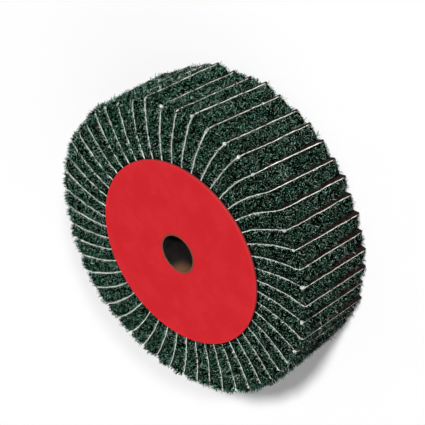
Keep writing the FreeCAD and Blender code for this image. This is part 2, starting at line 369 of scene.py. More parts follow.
class EffectLibrary:
    """Builds each shared shader group once."""

    def build(self) -> None:
        """Builds all the groups."""
        self.tangle()
        self.mottle()
        self.weave()
        self.grain()

    def start(self, effect: Effect, inputs: dict[str, float]) -> tuple[NodeKit, bpy.types.Node, bpy.types.Node]:
        """Starts a group that takes a place and some values and puts out a mask and a height.

        Args:
            effect: Which group to start.
            inputs: The names of the value inputs with their defaults.
        """
        tree = bpy.data.node_groups.new(effect.value, "ShaderNodeTree")
        tree.interface.new_socket("Place", in_out="INPUT", socket_type="NodeSocketVector")
        for name, default in inputs.items():
            socket = tree.interface.new_socket(name, in_out="INPUT", socket_type="NodeSocketFloat")
            socket.default_value = default
        for name in ("Mask", "Dark", "Height"):
            tree.interface.new_socket(name, in_out="OUTPUT", socket_type="NodeSocketFloat")
        kit = NodeKit(tree)
        return kit, kit.add("NodeGroupInput"), kit.add("NodeGroupOutput")

    def tangle(self) -> None:
        """Crossing strands of a fibre web, with painted shade in the dark hollows between them."""
        kit, source, result = self.start(Effect.TANGLE, {"Scale": 900.0, "Width": 0.16})
        strands = []
        for turn, stretch, part in (
            ((0.3, 0.9, 0.2), (1.0, 0.45, 0.8), 1.0),
            ((1.4, 0.2, 1.1), (0.5, 1.0, 0.9), 0.8),
            ((0.8, 1.9, 2.3), (0.9, 0.7, 0.4), 1.3),
        ):
            place = kit.moved(source.outputs["Place"], turn, stretch)
            scale = kit.maths("MULTIPLY", source.outputs["Scale"], part)
            cloud = kit.noise(place, scale, 1.0, bent=0.8)
            gap = kit.maths("ABSOLUTE", kit.maths("SUBTRACT", cloud, 0.5))
            strands.append(kit.maths("SUBTRACT", 1.0, kit.maths("DIVIDE", gap, source.outputs["Width"]), clamp=True))
        joined = kit.maths("MAXIMUM", kit.maths("MAXIMUM", strands[0], strands[1]), strands[2])
        # Painted shade: hollows between the strands, where the web is deep, are painted dark.
        shaded_hollow = kit.noise(source.outputs["Place"], kit.maths("MULTIPLY", source.outputs["Scale"], 0.75), 2.0, 0.6)
        dark = kit.ramp(shaded_hollow, 0.57, 0.50)
        kit.feed(result, "Mask", joined)
        kit.feed(result, "Dark", dark)
        kit.feed(result, "Height", kit.maths("SUBTRACT", joined, kit.maths("MULTIPLY", dark, 0.8)))

    def mottle(self) -> None:
        """Soft clouds and fine fibres of a painted board or card."""
        kit, source, result = self.start(Effect.MOTTLE, {"Scale": 60.0, "Fine": 1500.0})
        clouds = kit.noise(source.outputs["Place"], source.outputs["Scale"], 4.0, 0.6)
        drawn = kit.moved(source.outputs["Place"], (0.0, 0.0, 0.5), (1.0, 0.35, 1.0))
        fine = kit.noise(drawn, source.outputs["Fine"], 3.0)
        kit.feed(result, "Mask", kit.ramp(clouds, 0.35, 0.68))
        kit.feed(result, "Dark", kit.ramp(fine, 0.52, 0.36))
        kit.feed(result, "Height", kit.maths("ADD", fine, kit.maths("MULTIPLY", clouds, 0.6)))

    def weave(self) -> None:
        """Threads of a plain cotton weave, along the axis and across it."""
        kit, source, result = self.start(Effect.WEAVE, {"Threads": 1900.0})
        along = kit.add("ShaderNodeTexWave", wave_type="BANDS", bands_direction="Z")
        across = kit.add("ShaderNodeTexWave", wave_type="RINGS", rings_direction="Z")
        for node in (along, across):
            kit.feed(node, "Vector", source.outputs["Place"])
            kit.feed(node, "Scale", kit.maths("MULTIPLY", source.outputs["Threads"], 0.16))
            kit.feed(node, "Distortion", 2.5)
            kit.feed(node, "Detail", 2.0)
            kit.feed(node, "Detail Scale", 2.0)
        crossed = kit.maths("MULTIPLY", along.outputs["Fac"], across.outputs["Fac"])
        soil = kit.noise(source.outputs["Place"], 240.0, 3.0)
        kit.feed(result, "Mask", crossed)
        kit.feed(result, "Dark", kit.ramp(soil, 0.50, 0.68))
        kit.feed(result, "Height", kit.maths("MAXIMUM", along.outputs["Fac"], across.outputs["Fac"]))

    def grain(self) -> None:
        """Sharp grains of a coarse grit coat with bond between them."""
        kit, source, result = self.start(Effect.GRAIN, {"Scale": 1700.0})
        cells = kit.add("ShaderNodeTexVoronoi", feature="F1", distance="EUCLIDEAN")
        kit.feed(cells, "Vector", source.outputs["Place"])
        kit.feed(cells, "Scale", source.outputs["Scale"])
        facet = kit.add("ShaderNodeSeparateColor")
        kit.feed(facet, 0, cells.outputs["Color"])
        kit.feed(result, "Mask", facet.outputs[0])
        kit.feed(result, "Dark", kit.ramp(cells.outputs["Distance"], 0.35, 0.75))
        kit.feed(result, "Height", kit.maths("SUBTRACT", facet.outputs[1], cells.outputs["Distance"]))


# ---------------------------------------------------------------------------------------------------------
# Finishes


@dataclass(frozen=True)
class Finish:
    """The base of all finishes: a material with one Principled shader."""

    name: str = "finish"
    rough: float = 0.8
    shine: float = 0.3

    def start(self) -> tuple[bpy.types.Material, NodeKit, bpy.types.Node, Socket]:
        """Starts the material.
        """
        material = bpy.data.materials.new(self.name)
        material.use_nodes = True
        kit = NodeKit(material.node_tree)
        shader = material.node_tree.nodes["Principled BSDF"]
        kit.feed(shader, "Roughness", self.rough)
        kit.feed(shader, "Specular IOR Level", self.shine)
        place = kit.add("ShaderNodeTexCoord").outputs["Object"]
        return material, kit, shader, place

    def emboss(self, kit: NodeKit, shader: bpy.types.Node, height: Socket, depth: float, strength: float) -> None:
        """Adds a bump of a depth in metres to the shader."""
        bump = kit.add("ShaderNodeBump")
        kit.feed(bump, "Height", height)
        kit.feed(bump, "Distance", depth)
        kit.feed(bump, "Strength", strength)
        kit.feed(shader, "Normal", bump.outputs["Normal"])


@dataclass(frozen=True)
class WebFinish(Finish):
    """Open non-woven web: tangled green strands over a base and hollows painted near black as the shade deep in the
    web, with pale specks of grit and small pits painted dark as shade.
    """

    strand: Colour = (124, 180, 155)
    dull: Colour = (226, 220, 212)
    teal: Colour = (200, 255, 238)
    shaded_ground: Colour = (2, 8, 6)
    shaded_hollow: Colour = (0, 1, 1)
    speck: Colour = (170, 214, 192)
    scale: float = 1450.0
    strand_width: float = 0.035
    blotch_scale: float = 150.0
    grit_scale: float = 1600.0
    flange_shadow_span: tuple[float, float] = (49.5 * MM, 48.5 * MM)

    def build(self) -> bpy.types.Material:
        """Makes the material, dimmed by dust and painted shade towards one side, with a painted shadow of the flange in
        a ring just outside its edge.
        """
        material, kit, shader, place = self.start()
        tangle = kit.place(Effect.TANGLE.value, Place=place, Scale=self.scale, Width=self.strand_width)
        blotch = kit.ramp(kit.noise(place, self.blotch_scale, 3.0), 0.42, 0.60)
        green = kit.blend(tangle.outputs["Mask"], linear(self.shaded_ground), linear(self.strand))
        deep = kit.blend(tangle.outputs["Dark"], green, linear(self.shaded_hollow))
        tint = kit.blend(blotch, linear(self.dull), linear(self.teal))
        # Brown dust and painted shade dim the web towards one side.
        toned = kit.dusted_and_shaded(place, kit.blend(1.0, deep, tint, "MULTIPLY"))
        grit = kit.noise(place, self.grit_scale, 1.0)
        # Painted shade: small pits painted near black.
        shaded_pits = kit.blend(kit.ramp(grit, 0.45, 0.39), toned, linear(self.shaded_hollow))
        flecked = kit.blend(kit.ramp(grit, 0.64, 0.67), shaded_pits, linear(self.speck))
        # Painted shadow: the web is painted dark in a ring just outside the flange's edge, where the flange's shadow
        # falls.
        flange_shadow = kit.ramp(kit.from_axis(place), *self.flange_shadow_span, 0.0, 0.9)
        kit.feed(shader, "Base Color", kit.blend(flange_shadow, flecked, linear(self.shaded_hollow)))
        kit.feed(shader, "Roughness", kit.ramp(tangle.outputs["Mask"], 0.0, 1.0, 0.95, 0.7))
        self.emboss(kit, shader, tangle.outputs["Height"], 0.5 * MM, 0.9)
        return material


@dataclass(frozen=True)
class FibreFinish(Finish):
    """A single fibre of one shade, with some change of shade over the wheel, and by choice brown dust and painted shade
    towards one side.
    """

    colour: Colour = (60, 105, 85)
    other: Colour = (30, 66, 52)
    scale: float = 420.0
    dusty_and_shaded: bool = True

    def build(self) -> bpy.types.Material:
        """Makes the material."""
        material, kit, shader, place = self.start()
        part = kit.ramp(kit.noise(place, self.scale, 2.0), 0.38, 0.62)
        shade = kit.blend(part, linear(self.colour), linear(self.other))
        kit.feed(shader, "Base Color", kit.dusted_and_shaded(place, shade) if self.dusty_and_shaded else shade)
        kit.feed(shader, "Roughness", kit.ramp(part, 0.0, 1.0, self.rough, self.rough + 0.15))
        return material


@dataclass(frozen=True)
class CottonFinish(Finish):
    """Cream cotton backing, woven and a little soiled."""

    cream: Colour = (248, 247, 238)
    soiled: Colour = (182, 180, 168)
    dark_corner: Colour = (46, 28, 22)
    linted: Colour = (222, 243, 230)
    threads: float = 1900.0
    grime_scale: float = 480.0
    dark_corner_radius: tuple[float, float] = (73.0 * MM, 74.2 * MM)
    dark_corner_level: tuple[float, float] = (3.6 * MM, 1.8 * MM)

    def build(self) -> bpy.types.Material:
        """Makes the material, with linted front edges and the rear outer corners darkened."""
        material, kit, shader, place = self.start()
        weave = kit.place(Effect.WEAVE.value, Place=place, Threads=self.threads)
        dirty = kit.blend(weave.outputs["Dark"], linear(self.cream), linear(self.soiled))
        part = kit.ramp(weave.outputs["Mask"], 0.0, 0.5, 0.45, 0.0)
        grime = kit.ramp(kit.noise(place, self.grime_scale, 2.0), 0.46, 0.62, 0.0, 0.9)
        cloth = kit.blend(kit.maths("MAXIMUM", part, grime), dirty, linear(self.soiled))
        low = kit.ramp(kit.level(place), *self.dark_corner_level)
        outer = kit.ramp(kit.from_axis(place), *self.dark_corner_radius)
        dark_corner_mask = kit.maths("MULTIPLY", low, outer)
        cloth = kit.blend(kit.ramp(kit.level(place), *LINT_SPAN, 0.0, 0.9), cloth, linear(self.linted))
        kit.feed(shader, "Base Color", kit.blend(dark_corner_mask, cloth, linear(self.dark_corner)))
        kit.feed(shader, "Roughness", kit.ramp(weave.outputs["Mask"], 0.0, 1.0, 0.95, 0.8))
        self.emboss(kit, shader, weave.outputs["Height"], 0.15 * MM, 0.6)
        return material


@dataclass(frozen=True)
class GritFinish(Finish):
    """Coarse brown grit in dark bond."""

    grain: Colour = (44, 19, 15)
    bond: Colour = (7, 3, 3)
    spark: Colour = (96, 56, 46)
    linted: Colour = (14, 27, 22)
    scale: float = 1900.0
    patch_scale: float = 230.0

    def build(self) -> bpy.types.Material:
        """Makes the material, with linted front edges."""
        material, kit, shader, place = self.start()
        grains = kit.place(Effect.GRAIN.value, Place=place, Scale=self.scale)
        patch = kit.ramp(kit.noise(place, self.patch_scale, 2.0), 0.38, 0.62, 0.35, 1.0)
        part = kit.maths("MULTIPLY", kit.ramp(grains.outputs["Mask"], 0.1, 0.9), patch)
        brown = kit.blend(part, linear(self.bond), linear(self.grain))
        worn = kit.blend(kit.ramp(grains.outputs["Mask"], 0.90, 0.97), brown, linear(self.spark))
        lint = kit.ramp(kit.level(place), *LINT_SPAN, 0.0, 0.8)
        coarse = kit.blend(grains.outputs["Dark"], worn, linear(self.bond))
        kit.feed(shader, "Base Color", kit.blend(lint, coarse, linear(self.linted)))
        kit.feed(shader, "Roughness", kit.ramp(grains.outputs["Mask"], 0.0, 1.0, 0.75, 0.45))
        self.emboss(kit, shader, grains.outputs["Height"], 0.25 * MM, 0.9)
        return material


@dataclass(frozen=True)
class BoardFinish(Finish):
    """Flat red board with a dull cut edge."""

    red: Colour = (209, 37, 45)
    faded: Colour = (218, 48, 55)
    fibre: Colour = (184, 20, 30)
    cut: Colour = (132, 50, 50)
    radius: float = 48.0 * MM
    edge: float = 0.22 * MM

    def build(self) -> bpy.types.Material:
        """Makes the material."""
        material, kit, shader, place = self.start()
        mottle = kit.place(Effect.MOTTLE.value, Place=place, Scale=90.0, Fine=2600.0)
        from_axis = kit.from_axis(place)
        clouds = kit.maths("MULTIPLY", mottle.outputs["Mask"], 0.55)
        red = kit.blend(clouds, linear(self.red), linear(self.faded))
        grain = kit.maths("MULTIPLY", mottle.outputs["Dark"], 0.18)
        red = kit.blend(grain, red, linear(self.fibre))
        # Lighter towards the outer edge.
        lightened = kit.ramp(from_axis, self.radius - 2.2 * MM, self.radius - 0.4 * MM, 0.0, 0.35)
        red = kit.blend(lightened, red, linear(self.faded))
        cut = kit.ramp(from_axis, self.radius - self.edge, self.radius - self.edge + 0.08 * MM)
        kit.feed(shader, "Base Color", kit.blend(cut, red, linear(self.cut)))
        kit.feed(shader, "Roughness", kit.ramp(mottle.outputs["Mask"], 0.0, 1.0, 0.62, 0.52))
        self.emboss(kit, shader, mottle.outputs["Height"], 0.05 * MM, 0.35)
        return material


@dataclass(frozen=True)
class CardFinish(Finish):
    """Wound kraft card, painted near black as the shade inside the bore, with a painted pool of light on one side near
    the front, and a paler cut end.
    """

    # Painted shade: the card's colours are near black, as the shade inside the bore.
    kraft: Colour = (20, 13, 10)
    dark: Colour = (5, 3, 3)
    lightened: Colour = (120, 86, 58)
    cut: Colour = (128, 70, 56)
    top: float = 48.0 * MM
    painted_light_side: float = math.radians(268.0)

    def build(self) -> bpy.types.Material:
        """Makes the material."""
        material, kit, shader, place = self.start()
        mottle = kit.place(Effect.MOTTLE.value, Place=place, Scale=160.0, Fine=1700.0)
        brown = kit.blend(mottle.outputs["Mask"], linear(self.kraft), linear(self.dark))
        brown = kit.blend(kit.maths("MULTIPLY", mottle.outputs["Dark"], 0.6), brown, linear(self.dark))
        level = kit.level(place)
        # Painted light: a lighter patch on one side of the bore's wall near the front stands in for the light falling
        # there.
        patch = kit.ramp(kit.towards(place, self.painted_light_side), 4.5 * MM, 9.3 * MM)
        shallow = kit.ramp(level, self.top - 10.0 * MM, self.top - 1.0 * MM)
        painted_light_part = kit.maths("MULTIPLY", kit.maths("MULTIPLY", patch, shallow), 0.9)
        brown = kit.blend(painted_light_part, brown, linear(self.lightened))
        middle = kit.maths("ABSOLUTE", kit.maths("SUBTRACT", level, self.top / 2))
        end = kit.ramp(middle, self.top / 2 - 0.25 * MM, self.top / 2 - 0.05 * MM)
        kit.feed(shader, "Base Color", kit.blend(end, brown, linear(self.cut)))
        kit.feed(shader, "Roughness", kit.ramp(mottle.outputs["Mask"], 0.0, 1.0, 0.85, 0.7))
        self.emboss(kit, shader, mottle.outputs["Height"], 0.12 * MM, 0.6)
        return material


@dataclass(frozen=True)
class ResinFinish(Finish):
    """Cast amber resin with cloudy patches."""

    amber: Colour = (128, 88, 48)
    clear: Colour = (92, 58, 30)

    def build(self) -> bpy.types.Material:
        """Makes the material."""
        material, kit, shader, place = self.start()
        mottle = kit.place(Effect.MOTTLE.value, Place=place, Scale=120.0, Fine=900.0)
        kit.feed(shader, "Base Color", kit.blend(mottle.outputs["Mask"], linear(self.amber), linear(self.clear)))
        kit.feed(shader, "Roughness", kit.ramp(mottle.outputs["Dark"], 0.0, 1.0, 0.35, 0.55))
        self.emboss(kit, shader, mottle.outputs["Height"], 0.1 * MM, 0.4)
        return material


# ---------------------------------------------------------------------------------------------------------
# Fibres


class FibreKind(Enum):
    """How a fibre lies on the surface that it grows out of."""

    LOOP = "loop"
    STRAY = "stray"
    FRAY = "fray"
    CURL = "curl"
    SPIKE = "spike"


@dataclass
class FibreRack:
    """A few dozen small fibre shapes that are laid on the flaps again and again."""

    seed: int = 11
    variants: int = 9
    shapes: dict[FibreKind, list[bpy.types.Mesh]] = field(default_factory=dict)

    def build(self) -> None:
        """Makes some shapes of each kind."""
        chance = random.Random(self.seed)
        for kind in FibreKind:
            self.shapes[kind] = [self.fibre(kind, number, chance) for number in range(self.variants)]

    def course(self, kind: FibreKind, chance: random.Random) -> list[Vector]:
        """The points that a fibre of a kind runs through; the surface is at z 0."""
        points = []
        if kind is FibreKind.LOOP:
            length = chance.uniform(1.6, 3.2)
            rise = chance.uniform(0.35, 0.9)
            sway = chance.uniform(-0.9, 0.9)
            for step in range(5):
                part = step / 4
                arch = math.sin(math.pi * part)
                bend = math.sin(math.pi * part * chance.uniform(0.9, 1.2))
                points.append(Vector(((part - 0.5) * length, sway * bend, -0.35 + (rise + 0.35) * arch)))
        elif kind is FibreKind.STRAY:
            length = chance.uniform(1.1, 2.5)
            fall = chance.uniform(0.2, 1.1)
            sway = chance.uniform(-0.9, 0.9)
            for step in range(4):
                part = step / 3
                out = -0.4 + (length + 0.4) * part - fall * part * part
                points.append(Vector((fall * part * part * 1.8, sway * part * part, out)))
        elif kind in (FibreKind.FRAY, FibreKind.SPIKE):
            length = chance.uniform(0.4, 1.2) if kind is FibreKind.FRAY else chance.uniform(0.7, 2.1)
            sway = chance.uniform(-0.6, 0.6)
            for step in range(3):
                part = step / 2
                points.append(Vector((sway * part * part, chance.uniform(-0.1, 0.1), -0.2 + (length + 0.2) * part)))
        else:
            turns = chance.uniform(0.7, 1.3)
            width = chance.uniform(0.3, 0.75)
            start = chance.uniform(0.0, FULL_TURN)
            for step in range(7):
                part = step / 6
                angle = start + turns * FULL_TURN * part
                out = -0.2 + chance.uniform(0.6, 1.2) * part
                points.append(Vector((width * math.cos(angle), width * math.sin(angle), out)))
        return [point * MM for point in points]

    def thickness(self, kind: FibreKind, chance: random.Random) -> float:
        """The radius of a fibre of a kind."""
        return {
            FibreKind.LOOP: chance.uniform(0.06, 0.09),
            FibreKind.STRAY: chance.uniform(0.07, 0.12),
            FibreKind.FRAY: chance.uniform(0.06, 0.08),
            FibreKind.CURL: chance.uniform(0.07, 0.11),
            FibreKind.SPIKE: chance.uniform(0.12, 0.20),
        }[kind] * MM

    def fibre(self, kind: FibreKind, number: int, chance: random.Random) -> bpy.types.Mesh:
        """Extrudes one three-sided fibre along its course and closes both ends."""
        course = self.course(kind, chance)
        radius = self.thickness(kind, chance)
        work = bmesh.new()
        bmesh.ops.create_circle(work, cap_ends=True, radius=radius, segments=3)
        direction = (course[1] - course[0]).normalized()
        turn = Vector((0.0, 0.0, 1.0)).rotation_difference(direction)
        bmesh.ops.transform(work, matrix=Matrix.Translation(course[0]) @ turn.to_matrix().to_4x4(), verts=work.verts[:])
        face = work.faces[:][0]
        for step in range(1, len(course)):
            grown = bmesh.ops.extrude_face_region(work, geom=[face], use_keep_orig=step == 1)
            ring = [item for item in grown["geom"] if isinstance(item, BMVert)]
            face = [item for item in grown["geom"] if isinstance(item, bmesh.types.BMFace)][0]
            ahead = course[min(step + 1, len(course) - 1)] - course[step - 1]
            centre = course[step - 1]
            bend = direction.rotation_difference(ahead.normalized())
            about = Matrix.Translation(course[step]) @ bend.to_matrix().to_4x4() @ Matrix.Translation(-centre)
            bmesh.ops.transform(work, matrix=about, verts=ring)
            direction = ahead.normalized()
            if step == len(course) - 1:
                thin = 0.25 if kind is FibreKind.SPIKE else 0.5
                bmesh.ops.scale(work, vec=(thin, thin, thin), space=Matrix.Translation(-course[step]), verts=ring)
        bmesh.ops.recalc_face_normals(work, faces=work.faces[:])
        mesh = bpy.data.meshes.new(f"fibre_{kind.value}_{number}")
        work.to_mesh(mesh)
        work.free()
        return mesh

    def lay(self, target: BMesh, kind: FibreKind, spot: Vector, out: Vector, slot: int, chance: random.Random,
            size: float = 1.0) -> None:
        """Lays one fibre of a kind on a spot.

        Args:
            target: The mesh that the fibre joins.
            kind: The kind of fibre.
            spot: Where its root is.
            out: The outward direction there.
            slot: The material slot of the fibre.
            chance: The source of its turn and size.
            size: How large the fibre is beside its shape.
        """
        shape = chance.choice(self.shapes[kind])
        turn = Vector((0.0, 0.0, 1.0)).rotation_difference(out).to_matrix().to_4x4()
        spin = Matrix.Rotation(chance.uniform(0.0, FULL_TURN), 4, "Z")
        scale = Matrix.Diagonal(Vector((1.0, 1.0, 1.0)) * size * chance.uniform(0.75, 1.25)).to_4x4()
        move = Matrix.Translation(spot) @ turn @ spin @ scale
        copy = shape.copy()
        copy.transform(move)
        copy.polygons.foreach_set("material_index", [slot] * len(copy.polygons))
        target.from_mesh(copy)
        bpy.data.meshes.remove(copy)


# ---------------------------------------------------------------------------------------------------------
# Sub-assemblies


def block(runs: int, sides: int, heights: int) -> BMesh:
    """A unit block whose x, y and z will become the run, the thickness and the height of a flap.

    Args:
        runs: Steps along the flap on its front and rear.
        sides: Steps across the flap's thickness.
        heights: Steps across the flap's tip.

    Returns:
        The block, with its fine steps only where they show.
    """
    work = bmesh.new()
    bmesh.ops.create_cube(work, size=1.0, matrix=Matrix.Translation((0.5, 0.5, 0.5)))

    def edges_along(axis: int, tip_only: bool = False) -> list[bmesh.types.BMEdge]:
        """The edges that run along an axis, or only those of them at the tip."""
        found = []
        for edge in work.edges:
            span = edge.verts[1].co - edge.verts[0].co
            at_tip = min(vert.co.x for vert in edge.verts) > LAST_ROW
            if abs(span[axis]) > 0.9 * span.length and (at_tip or not tip_only):
                found.append(edge)
        return found

    bmesh.ops.subdivide_edges(work, edges=edges_along(0), cuts=runs - 1, use_grid_fill=True)
    bmesh.ops.subdivide_edges(work, edges=edges_along(1), cuts=sides - 1, use_grid_fill=True)
    bmesh.ops.subdivide_edges(work, edges=edges_along(2, tip_only=True), cuts=heights - 1, use_grid_fill=True)
    return work


@dataclass
class FlapPack:
    """All the flaps: the lines that the cloth flaps follow, and the chance that sets them apart.

    Attributes:
        sizes: The sizes of the wheel.
        seed: The seed of the chance.
        high_side: The direction in which the flaps reach furthest.
        slack: The largest share by which a flap bends more or less than usual.
        reach: How much longer the flaps are on the whole, how much more on the high side, and the spread.
        reach_limits: The least and the most that chance adds to a flap's reach.
        corners: The radii that front corners have worn to.
        flare: How much further flaps reach at the rear, on the high side.
        ripple_step: How far apart the ripples of neighbouring flaps are in their noise.
        lines: The lines, which lay_out makes; reaches, radii and flare are in millimetres before that.
    """

    sizes: WheelSizes
    seed: int = 5
    high_side: float = math.radians(85.0)
    slack: float = 0.12
    reach: tuple[float, float, float] = (0.8, 1.55, 0.75)
    reach_limits: tuple[float, float] = (-1.3, 1.6)
    corners: tuple[float, ...] = (0.9, 1.3, 1.9, 3.4)
    flare: float = 1.1
    ripple_step: float = 7.3
    lines: list[FlapLine] = field(default_factory=list)

    def lay_out(self) -> None:
        """Sets out the line of every cloth flap."""
        chance = random.Random(self.seed)
        shared, lift, spread = self.reach
        least, most = self.reach_limits
        for number in range(self.sizes.flap_count):
            angle = number * self.sizes.pitch
            high = math.cos(angle - self.high_side)
            self.lines.append(FlapLine(
                sizes=self.sizes,
                angle=angle,
                slack=chance.uniform(-self.slack, self.slack),
                reach=(shared + lift * high + min(most, max(least, chance.gauss(0.0, spread)))) * MM,
                corner=chance.choice(self.corners) * MM,
                seed=number * self.ripple_step,
                flare=self.flare * MM * high * high,
            ))

    def pair(self, number: int) -> tuple[FlapLine, FlapLine]:
        """The lines of the cloth flaps on both sides of a web flap."""
        return self.lines[number], self.lines[(number + 1) % len(self.lines)]


@dataclass
class ClothFlaps:
    """The abrasive cloth flaps: cotton on the clockwise side, grit on the other, with frayed edges.

    Attributes:
        pack: The lines of the flaps.
        rack: The fibre shapes.
        cotton: The share of the thickness that is cotton.
        runs: Steps along a flap.
        heights: Steps across its tip.
        fray: How many frayed threads a flap has, and front_share, the share of them on its front edge.
        ridge: How far the cotton stands proud of the grit at the tip.
        wear_grain: The size of the nicks at the free edges.
        front_wear: How deep the front edge has worn everywhere, and by its nicks, in millimetres.
        tip_wear: How deep the nicks of the tip are, in millimetres.
        curl: How far the cotton turns outwards along its front edge, in millimetres.
        tuft: How many threads a tuft has, and tuft_chance, how often a front corner has one.
        tuft_sizes: The smallest and largest tuft.
        knot_threads: How many threads a knot on the tip has.
        seed: The seed of the first flap's chance.
    """

    pack: FlapPack
    rack: FibreRack
    cotton: float = 0.30
    runs: int = 84
    heights: int = 64
    fray: int = 64
    front_share: float = 0.80
    ridge: float = 0.12 * MM
    wear_grain: float = 0.9 * MM
    front_wear: tuple[float, float] = (0.16, 0.24)
    tip_wear: float = 0.20
    curl: float = 0.16
    tuft: int = 7
    tuft_chance: float = 0.85
    tuft_sizes: tuple[float, float] = (0.6, 1.25)
    knot_threads: int = 4
    seed: int = 21

    def build(self, materials: list[bpy.types.Material]) -> None:
        """Makes all the cloth flaps.

        Args:
            materials: The cotton, grit and thread materials.
        """
        template = self.template()
        for number, line in enumerate(self.pack.lines):
            work = template.copy()
            self.form(work, line)
            self.dress_edges(work, line, random.Random(self.seed + number))
            piece = finish_piece(f"cloth_flap_{number + 1:02d}", work, materials)
            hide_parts(f"abrasive_flap_{number + 1:02d}")
            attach(piece, "root")
        template.free()

    def template(self) -> BMesh:
        """The unit block of a cloth flap, with the cotton and the grit as layers."""
        work = block(self.runs, 1, self.heights)
        bmesh.ops.bisect_plane(
            work, geom=work.verts[:] + work.edges[:] + work.faces[:],
            plane_co=(0.0, self.cotton, 0.0), plane_no=(0.0, 1.0, 0.0))
        for face in work.faces:
            face.material_index = 1 if face.calc_center_median().y > self.cotton else 0
        return work

    def form(self, work: BMesh, line: FlapLine) -> None:
        """Bends the unit block to the flap's line and lets its free edges wave and wear."""
        sizes = line.sizes
        root = sizes.hub_radius - sizes.seat_depth - sizes.bend_start
        for vert in work.verts:
            along, across, high = vert.co
            height = mix(sizes.flap_bottom, sizes.flap_top, high)
            tip = line.tip(height)
            run = mix(root, tip, stepped(along, self.runs))
            to_tip = tip - run
            if high > MIDDLE:
                to_tip, to_edge, _, _ = round_corner(to_tip, sizes.flap_top - height, line.corner)
                height = sizes.flap_top - to_edge
            run = tip - to_tip
            worn = noise.noise(Vector((run / self.wear_grain, height / self.wear_grain, line.seed)))
            free = smooth(-2.0 * MM, 3.0 * MM, run)
            if high > LAST_ROW:
                height -= (self.front_wear[0] + self.front_wear[1] * worn) * MM * free
            if along > LAST_ROW:
                run -= self.tip_wear * worn * MM
                if across < FIRST_ROW:
                    run += self.ridge
            offset = (across - MIDDLE) * sizes.cloth
            near_front = math.exp(-(sizes.flap_top - height) / (1.0 * MM)) * free
            if across < FIRST_ROW:
                offset -= self.curl * MM * near_front * (0.3 + 3.0 * worn)
            vert.co = line.point(run, offset, height)

    def dress_edges(self, work: BMesh, line: FlapLine, chance: random.Random) -> None:
        """Adds frayed threads along the front edge and the tip, knots on the tip and a tuft at the corner."""
        sizes = line.sizes
        middle = (self.cotton / 2 - MIDDLE) * sizes.cloth
        for _ in range(self.fray):
            on_front = chance.random() < self.front_share
            if on_front:
                height = sizes.flap_top + 0.15 * MM
                run = chance.uniform(sizes.shown_from, line.tip(height) - line.corner)
                out = Vector((0.0, 0.0, 0.7))
            else:
                height = chance.uniform(sizes.flap_bottom + 1.0 * MM, sizes.flap_top - line.corner)
                run = line.tip(height) - 0.3 * MM
                out = self.outward(line, run, height)
            spot = line.point(run, middle, height)
            back = self.backward(line, run, height) * chance.uniform(-1.3, 1.6)
            lean = Vector((chance.uniform(-0.6, 0.6), chance.uniform(-0.6, 0.6), chance.uniform(-0.6, 0.6)))
            self.rack.lay(work, FibreKind.FRAY, spot, (out + back + lean).normalized(), 2, chance,
                          0.85 if on_front else 0.55)
        for _ in range(chance.choice((0, 1, 1, 2))):
            height = chance.uniform(sizes.flap_bottom + 8.0 * MM, sizes.flap_top - line.corner)
            run = line.tip(height) - 0.1 * MM
            for _ in range(self.knot_threads):
                self.rack.lay(work, FibreKind.CURL, line.point(run, middle, height),
                              self.outward(line, run, height), 2, chance, 0.7)
        if chance.random() < self.tuft_chance:
            size = chance.uniform(*self.tuft_sizes)
            middle_share = chance.uniform(0.2, 0.8)
            for _ in range(self.tuft):
                share = middle_share + chance.uniform(-0.2, 0.2)
                to_tip, to_edge, tip_part, edge_part = round_corner(
                    (1.0 - share) * line.corner, 0.0 if share < MIDDLE else share * 0.3 * line.corner, line.corner)
                height = sizes.flap_top - to_edge - 0.2 * MM
                run = line.tip(height) - to_tip - 0.2 * MM
                spot = line.point(run, middle, height)
                out = self.outward(line, run, height) * tip_part + Vector((0.0, 0.0, 1.0)) * edge_part
                self.rack.lay(work, FibreKind.CURL, spot, out.normalized(), 2, chance, size)
                lean = Vector((chance.uniform(-1.2, 1.2), chance.uniform(-1.2, 1.2), chance.uniform(-0.4, 1.2)))
                self.rack.lay(work, FibreKind.SPIKE, spot, (out + lean).normalized(), 2, chance, 0.8 * size)

    def outward(self, line: FlapLine, run: float, height: float) -> Vector:
        """The direction along the flap, out of its tip."""
        return (line.point(run, 0.0, height) - line.point(run - 1.0 * MM, 0.0, height)).normalized()

    def backward(self, line: FlapLine, run: float, height: float) -> Vector:
        """The direction out of the flap's cotton side."""
        return (line.point(run, -1.0 * MM, height) - line.point(run, 0.0, height)).normalized()


def stepped(along: float, runs: int) -> float:
    """Spreads the steps along a flap: two for the part that the flanges hide, the rest where it shows."""
    hidden_steps = 2.0 / runs
    hidden_part = 0.42
    if along <= hidden_steps:
        return along / hidden_steps * hidden_part
    return hidden_part + (along - hidden_steps) / (1.0 - hidden_steps) * (1.0 - hidden_part)


